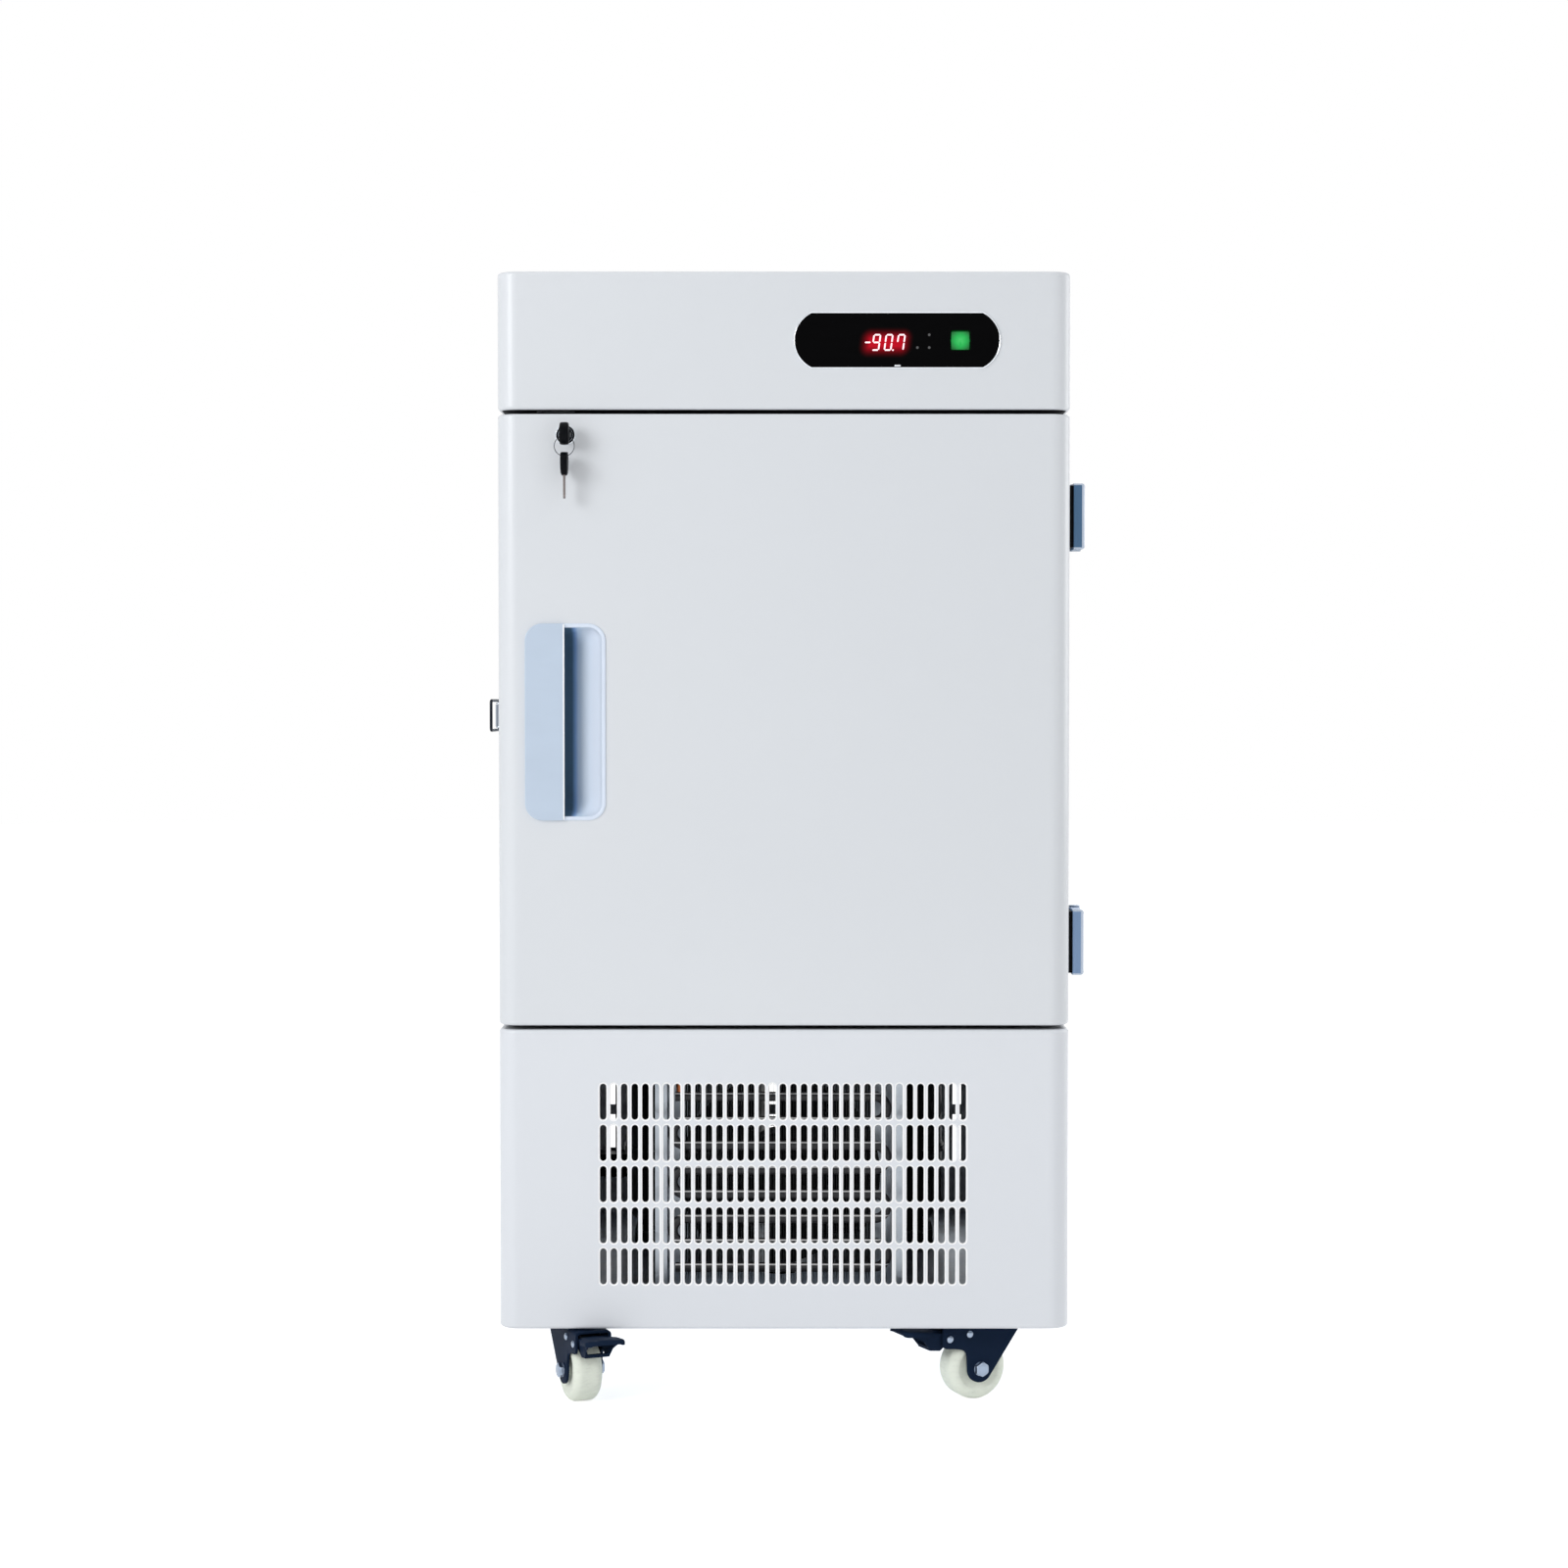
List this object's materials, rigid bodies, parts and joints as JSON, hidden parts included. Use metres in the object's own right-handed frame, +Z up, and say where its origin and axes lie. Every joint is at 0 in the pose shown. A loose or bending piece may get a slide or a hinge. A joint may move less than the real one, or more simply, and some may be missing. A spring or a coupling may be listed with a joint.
{
  "type": "laboratory freezer",
  "caption": "Upright ultra-low-temperature laboratory freezer on swivel casters, with a side-hinged door, grip cup, key lock, toggle latch, display and grille.",
  "frame": {"origin": "on the floor, at the middle of the footprint with the door closed and the brake pedals out", "axes": "+Z up, -Y out of the door, +X towards the hinge side"},
  "size_m": [0.5908, 0.6668, 1.112],
  "materials": {
    "panel_paint": "satin",
    "galvanised": "satin",
    "stainless": "satin",
    "insulation_foam": "matte",
    "white_plastic": "satin",
    "handle_plastic": "satin",
    "gasket_rubber": "matte",
    "bright_chrome": "polished",
    "zinc_steel": "satin",
    "hinge_paint": "satin",
    "black_plastic": "matte",
    "display_glass": "gloss",
    "green_lamp": "gloss",
    "circuit_board": "satin",
    "black_paint": "satin",
    "copper": "satin",
    "condenser_aluminium": "satin",
    "fork_paint": "satin",
    "wheel_rubber": "satin",
    "mount_rubber": "matte",
    "fan_plastic": "satin"
  },
  "bodies": {
    "cabinet": {"cabinet_shell": "panel_paint", "back_panel": "panel_paint", "control_head": "panel_paint", "lower_front_panel": "panel_paint", "base_tray": "galvanised", "front_frame": "white_plastic", "inner_liner": "stainless", "cabinet_insulation": "insulation_foam", "shelf": "stainless", "inner_door_brackets": "stainless", "hinge_cabinet_leaves": "hinge_paint", "hinge_pins": "zinc_steel", "latch_base": "bright_chrome", "condenser_fins": "condenser_aluminium", "condenser_tube": "copper", "condenser_frame": "galvanised", "fan_motor": "black_paint", "low_stage_compressor": "black_paint", "high_stage_compressor": "black_paint", "compressor_mounts": "mount_rubber", "refrigerant_pipes": "copper", "display_bezel": "bright_chrome", "display_lens": "display_glass", "control_board": "circuit_board", "power_inlet": "black_plastic", "caster_plates": "zinc_steel", "caster_bolts": "zinc_steel"},
    "door": {"door_panel": "panel_paint", "door_insulation": "insulation_foam", "door_liner": "white_plastic", "door_gasket": "gasket_rubber", "handle_cup": "handle_plastic", "handle_grip": "handle_plastic", "lock_barrel": "bright_chrome", "hinge_door_leaves": "hinge_paint", "hinge_shims": "black_plastic", "latch_keeper": "bright_chrome"},
    "upper_inner_door": {"upper_inner_door": "white_plastic"},
    "lower_inner_door": {"lower_inner_door": "white_plastic"},
    "lock": {"lock_plug": "bright_chrome", "lock_cam": "zinc_steel"},
    "key": {"key_blade": "bright_chrome", "key_bow": "black_plastic"},
    "key_ring": {"key_ring": "bright_chrome"},
    "spare_key": {"spare_key_blade": "bright_chrome", "spare_key_bow": "black_plastic"},
    "latch_lever": {"latch_lever": "bright_chrome"},
    "latch_bail": {"latch_bail": "bright_chrome"},
    "fan": {"fan_blades": "fan_plastic"},
    "power_rocker": {"power_rocker": "green_lamp"},
    "front_left_fork": {"front_left_caster_fork": "fork_paint"},
    "front_left_wheel": {"front_left_caster_wheel": "wheel_rubber"},
    "front_left_pedal": {"front_left_brake_pedal": "fork_paint"},
    "front_right_fork": {"front_right_caster_fork": "fork_paint"},
    "front_right_wheel": {"front_right_caster_wheel": "wheel_rubber"},
    "front_right_pedal": {"front_right_brake_pedal": "fork_paint"},
    "rear_left_fork": {"rear_left_caster_fork": "fork_paint"},
    "rear_left_wheel": {"rear_left_caster_wheel": "wheel_rubber"},
    "rear_right_fork": {"rear_right_caster_fork": "fork_paint"},
    "rear_right_wheel": {"rear_right_caster_wheel": "wheel_rubber"}
  },
  "joints": [
    {"name": "door_swing", "type": "hinge", "parent": "cabinet", "child": "door", "pos_m": [0.292, -0.20058, 0.6755], "axis": [0, 0, 1], "range_deg": [0, 110]},
    {"name": "upper_inner_door_swing", "type": "hinge", "parent": "cabinet", "child": "upper_inner_door", "pos_m": [0.1695, -0.17708, 0.7855], "axis": [0, 0, 1], "range_deg": [0, 96.8]},
    {"name": "lower_inner_door_swing", "type": "hinge", "parent": "cabinet", "child": "lower_inner_door", "pos_m": [0.1695, -0.17708, 0.5655], "axis": [0, 0, 1], "range_deg": [0, 96.8]},
    {"name": "lock_turn", "type": "hinge", "parent": "door", "child": "lock", "pos_m": [-0.2126, -0.29058, 0.9533], "axis": [0, 1, 0], "range_deg": [0, 90]},
    {"name": "key_withdraw", "type": "slide", "parent": "lock", "child": "key", "axis": [0, -1, 0], "range_m": [0, 0.024]},
    {"name": "key_ring_swing", "type": "hinge", "parent": "key", "child": "key_ring", "pos_m": [-0.2126, -0.30758, 0.95077], "axis": [-1, 0, 0], "range_deg": [-5, 60]},
    {"name": "spare_key_swing", "type": "hinge", "parent": "key_ring", "child": "spare_key", "pos_m": [-0.2126, -0.30758, 0.93177], "axis": [-1, 0, 0], "range_deg": [-5, 45]},
    {"name": "latch_lever_swing", "type": "hinge", "parent": "cabinet", "child": "latch_lever", "pos_m": [-0.287, -0.18258, 0.68], "axis": [0, 0, 1], "range_deg": [0, 110]},
    {"name": "latch_bail_swing", "type": "hinge", "parent": "latch_lever", "child": "latch_bail", "pos_m": [-0.288, -0.17258, 0.68], "axis": [0, 0, -1], "range_deg": [0, 143]},
    {"name": "fan_spin", "type": "hinge", "parent": "cabinet", "child": "fan", "pos_m": [-0.004, -0.17658, 0.21705], "axis": [0, 1, 0], "continuous": true},
    {"name": "power_rocker_tip", "type": "hinge", "parent": "cabinet", "child": "power_rocker", "pos_m": [0.1714, -0.28728, 1.045], "axis": [-1, 0, 0], "range_deg": [0, 14]},
    {"name": "front_left_caster_swivel", "type": "hinge", "parent": "cabinet", "child": "front_left_fork", "pos_m": [-0.213, -0.22558, 0.088], "axis": [0, 0, 1], "continuous": true},
    {"name": "front_left_wheel_spin", "type": "hinge", "parent": "front_left_fork", "child": "front_left_wheel", "pos_m": [-0.20251, -0.25154, 0.0315], "axis": [0.9272, 0.3746, 0], "continuous": true},
    {"name": "front_left_brake_press", "type": "hinge", "parent": "front_left_fork", "child": "front_left_pedal", "pos_m": [-0.19802, -0.26266, 0.067], "axis": [0.9272, 0.3746, 0], "range_deg": [0, 12]},
    {"name": "front_right_caster_swivel", "type": "hinge", "parent": "cabinet", "child": "front_right_fork", "pos_m": [0.213, -0.22558, 0.088], "axis": [0, 0, 1], "continuous": true},
    {"name": "front_right_wheel_spin", "type": "hinge", "parent": "front_right_fork", "child": "front_right_wheel", "pos_m": [0.18752, -0.23719, 0.0315], "axis": [0.4147, -0.91, 0], "continuous": true},
    {"name": "front_right_brake_press", "type": "hinge", "parent": "front_right_fork", "child": "front_right_pedal", "pos_m": [0.1766, -0.24216, 0.067], "axis": [0.4147, -0.91, 0], "range_deg": [0, 12]},
    {"name": "rear_left_caster_swivel", "type": "hinge", "parent": "cabinet", "child": "rear_left_fork", "pos_m": [-0.213, 0.26442, 0.088], "axis": [0, 0, 1], "continuous": true},
    {"name": "rear_left_wheel_spin", "type": "hinge", "parent": "rear_left_fork", "child": "rear_left_wheel", "pos_m": [-0.22349, 0.29038, 0.0315], "axis": [-0.9272, -0.3746, 0], "continuous": true},
    {"name": "rear_right_caster_swivel", "type": "hinge", "parent": "cabinet", "child": "rear_right_fork", "pos_m": [0.213, 0.26442, 0.088], "axis": [0, 0, 1], "continuous": true},
    {"name": "rear_right_wheel_spin", "type": "hinge", "parent": "rear_right_fork", "child": "rear_right_wheel", "pos_m": [0.22483, 0.2898, 0.0315], "axis": [-0.9063, 0.4226, 0], "continuous": true}
  ],
  "couplings": [
    {"joint": "upper_inner_door_swing", "follows": "door_swing", "ratio": 0.88},
    {"joint": "lower_inner_door_swing", "follows": "door_swing", "ratio": 0.88},
    {"joint": "latch_bail_swing", "follows": "latch_lever_swing", "ratio": 1.3}
  ]
}
